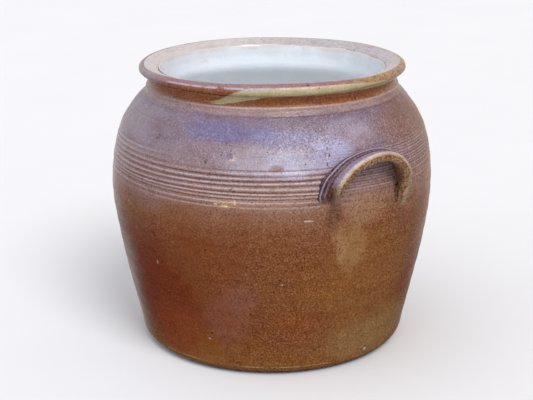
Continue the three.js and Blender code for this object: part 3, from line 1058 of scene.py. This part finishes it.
def stoneware():
    """Salt-glazed stoneware, the same for the pot and its handles."""
    n = Nodes(bpy.data.materials.new("salt_glazed_stoneware"))
    height = n.height()
    turn = direction(n)
    colour = flashes_and_highlight(n, body_colour(n, height))
    colour = rim_colours(n, neck_colours(n, colour, height, turn), height, turn)
    colour, crumbs = marks(n, colour)
    colour = strap_colours(n, colour)
    # lines cut in the clay run dark, and their burrs and the shoulder's edge carry a painted highlight
    colour = n.tint(n.times(n.mask("groove"), 0.8), colour, (180, 140, 128))
    on_ledge = n.step(height, 198, 206)
    burr_highlight = n.times(n.mask("burr_highlight"), n.step(height, 212, 209))
    burr_highlight = n.times(burr_highlight, n.minus(1.0, n.times(on_ledge, n.step(turn, -40, -90), 0.8)))
    light = n.mix(on_ledge, (192, 180, 192), (196, 166, 150))
    colour = n.lay(colour, light, burr_highlight, 0.6)
    # the light line that the turning tool left over the foot, and painted shade on the rounded edge
    # under it
    tooled = n.times(n.between(height, 7.6, 8.6, 0.5), n.step(n.noise(50, 4, 0.6), 0.38, 0.6), 0.5)
    colour = n.mix(tooled, colour, (196, 164, 118))
    colour = n.lay(colour, (62, 36, 18), n.step(height, 5.0, 1.5), 0.6)
    # the orange peel of the salt glaze, coarse on the right and nearly smooth low on the left, with
    # painted glints on the shoulder
    beads = n.add("TexVoronoi", {"feature": "SMOOTH_F1"}, Vector=n.place, Scale=820.0, Smoothness=0.4)
    bead = n.step(beads.outputs["Distance"], 0.15, 0.6, 1.0, 0.0)
    fine = n.noise(760, 3, 0.7)
    smooth = n.patch(-74, 56, 100, 84, 0.7, 30, 0.7)
    right = n.patch(24, 140, 74, 110, 0.6, 30, 0.6)
    # the shoulder's orange peel is coarse, and there its pale flecks are painted glints
    shoulder = n.patch(-22, 188, 46, 18, 0.6, 40, 0.6)
    coarse = n.math("MAXIMUM", right, shoulder)
    rough_area = n.minus(n.step(n.noise(14, 2), 0.3, 0.6, 0.7, 1.0), n.times(smooth, 0.62))
    rough_area = n.plus(rough_area, n.times(coarse, 0.6))
    high = n.step(height, 160, 176)
    pale = n.times(n.step(fine, 0.5, 0.64), rough_area, n.step(high, 0, 1, 0.4, 0.5))
    dark = n.times(n.step(fine, 0.48, 0.34), rough_area, n.step(high, 0, 1, 0.9, 0.5))
    colour = n.tint(dark, colour, (176, 160, 156))
    # pale flecks: the glaze's grain low down, and painted glints of the highlight on the shoulder
    grain_and_glint = n.mix(high, (206, 172, 140), (204, 188, 190))
    colour = n.lay(colour, grain_and_glint, pale, 0.42)
    # broad mottling, faint streaks from the wheel, and iron specks
    mottle = n.step(n.noise(120, 5, 0.62), 0.45, 0.7, 0.0, 0.4)
    colour = n.tint(mottle, colour, (214, 196, 190))
    streak = n.step(n.noise(30, 4, 0.6, (1, 1, 14)), 0.5, 0.7, 0.0, 0.3)
    colour = n.tint(streak, colour, (210, 190, 184))
    spots = n.math("MAXIMUM", speckle(n, 260, 0.2, 0.9), speckle(n, 110, 0.13, 0.86))
    colour = n.lay(colour, (46, 22, 20), spots, 0.85)
    wiped = n.step(n.mask("rim"), 0.5, 0.55)
    roughness = n.plus(n.step(n.noise(38), 0.3, 0.7, 0.2, 0.32), n.times(wiped, 0.18))
    roughness = n.minus(roughness, n.times(smooth, 0.06))
    relief = n.plus(n.times(bead, rough_area, 0.6), n.times(fine, 0.6), crumbs)
    return n.finish(colour, roughness, relief, 0.28 * MM, Specular_IOR_Level=0.35)


def speckle(n, scale, size, rare):
    """Round specks: one in each of the few cells whose random value is over rare."""
    cell = n.add("TexVoronoi", {"feature": "F1"}, Vector=n.place, Scale=scale)
    chosen = n.step(n.add("SeparateColor", Color=cell.outputs["Color"]).outputs[0], rare, rare + 0.02)
    near = n.step(cell.outputs["Distance"], size, size * 0.4)
    return n.times(chosen, near)


def white_glaze():
    """The poured lining: cool white, glossy, thin and stained near its edge."""
    n = Nodes(bpy.data.materials.new("white_glaze"))
    height = n.height()
    cloud = n.noise(22, 4)
    cool = n.mix(cloud, (224, 232, 240), (240, 244, 248))
    # deeper down the white is painted lighter, against the shade that falls inside the pot
    deep = n.mix(cloud, (238, 241, 243), (248, 250, 252))
    colour = n.mix(n.step(height, 180, 205), deep, cool)
    thin = n.plus(height, n.jitter(9.0, 80, 5, 0.65))
    colour = n.lay(colour, (200, 206, 212), n.step(thin, 211, 218), 0.6)
    colour = n.lay(colour, (196, 182, 174), n.step(thin, 217.5, 222.0), 0.7)
    stain = n.step(n.noise(48, 5, 0.7), 0.6, 0.75)
    colour = n.lay(colour, (190, 172, 168), stain, n.step(height, 150, 215), 0.5)
    colour = n.lay(colour, (120, 110, 104), speckle(n, 70, 0.07, 0.9), 0.6)
    ripple = n.plus(n.noise(60), n.times(n.noise(420), 0.25))
    return n.finish(colour, n.step(n.noise(30), 0.3, 0.7, 0.1, 0.2), ripple, 0.4 * MM)


def floor_material():
    n = Nodes(bpy.data.materials.new("studio_floor"))
    colour = n.mix(n.noise(6, 2), (218, 218, 219), (222, 222, 223))
    return n.finish(colour, n.step(n.noise(9), 0.3, 0.7, 0.75, 0.85), n.noise(300, 2), 0.05 * MM)


# ---- stage, light and camera ----


def build_stage():
    bpy.ops.mesh.primitive_plane_add(size=6, location=(0, 0, 0))
    floor = bpy.context.object
    floor.name = "studio_floor"
    floor.data.materials.append(floor_material())
    floor.visible_glossy = False


def camera_side(right, up):
    """The direction from the pot given as degrees right of the camera's direction and degrees up."""
    a, e = math.radians(CAMERA_AZIMUTH + right), math.radians(up)
    return Vector((math.sin(a) * math.cos(e), -math.cos(a) * math.cos(e), math.sin(e)))


def aim(name, data, right, up, distance):
    """Adds a light or a camera that looks at the pot from a direction and a distance."""
    looker = bpy.data.objects.new(name, data)
    towards_pot = -camera_side(right, up)
    looker.location = CAMERA_TARGET - towards_pot * distance
    looker.rotation_euler = towards_pot.to_track_quat("-Z", "Y").to_euler()
    scene.collection.objects.link(looker)
    return looker


def soft_sun(name, right, up, wide, strength, colour):
    """Even light from a round patch of sky, wide degrees across."""
    data = bpy.data.lights.new(name, "SUN")
    data.angle = math.radians(wide)
    data.energy = strength
    data.color = colour
    aim(name, data, right, up, 2.0).visible_camera = False


def build_world():
    """A pale sky that is dim under the horizon and warm to the right behind the pot, with
    bright walls behind it on the left and the right, which the glaze shows at its edges."""
    world = bpy.data.worlds.new("studio")
    scene.world = world
    n = Nodes(world, "Generated")

    def towards(right, up, low, high):
        """1 in a direction from the camera's side, and 0 well away from it. low and high are the
        cosines between which it changes."""
        dot = n.vector("DOT_PRODUCT", n.place, camera_side(right, up), out="Value")
        return n.step(dot, low, high)

    up = n.add("SeparateXYZ", Vector=n.place).outputs["Z"]
    sky = n.mix(towards(115, 10, 0.3, 0.85), (0.88, 0.91, 0.98, 1), (0.6, 0.49, 0.42, 1))
    colour = n.mix(n.step(up, -0.28, -0.02), (0.07, 0.07, 0.07, 1), sky)
    colour = n.mix(towards(-165, 8, 0.66, 0.93), colour, (1.0, 1.0, 1.0, 1))
    colour = n.mix(towards(156, 2, 0.84, 0.94), colour, (0.92, 0.83, 0.76, 1))
    # in low views the wall behind the floor is plain and pale
    seen = n.add("LightPath").outputs["Is Camera Ray"]
    background = n.add("Background", Color=n.mix(seen, colour, (0.88, 0.9, 0.92, 1)), Strength=0.85)
    n.add("OutputWorld", Surface=background.outputs[0])


def build_light():
    soft_sun("key_light", 26, 47, 30, 2.1, (1.0, 0.99, 0.99))
    soft_sun("fill_light", -50, 55, 60, 0.5, (0.93, 0.95, 1.0))
    build_world()


def build_camera():
    data = bpy.data.cameras.new("camera")
    data.sensor_width = 36
    data.lens = 78.2
    data.shift_x = -0.0101
    scene.camera = aim("camera", data, 0, CAMERA_ELEVATION, CAMERA_DISTANCE)


# ---- assembly ----

scene.view_settings.view_transform = "Standard"
build_camera()
build_light()
build_stage()

stoneware_material = stoneware()
pieces = [
    (build_pot(stoneware_material), "stoneware_pot", "stoneware"),
    (build_lining(white_glaze()), "white_glaze_lining", "white_glaze"),
    (build_handle("strap_right", stoneware_material, 11, 0), "handle_right", "stoneware"),
    (build_handle("strap_left", stoneware_material, 12, 180), "handle_left", "stoneware"),
]
for piece, node, slot in pieces:
    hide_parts(node)
    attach(piece, "root")
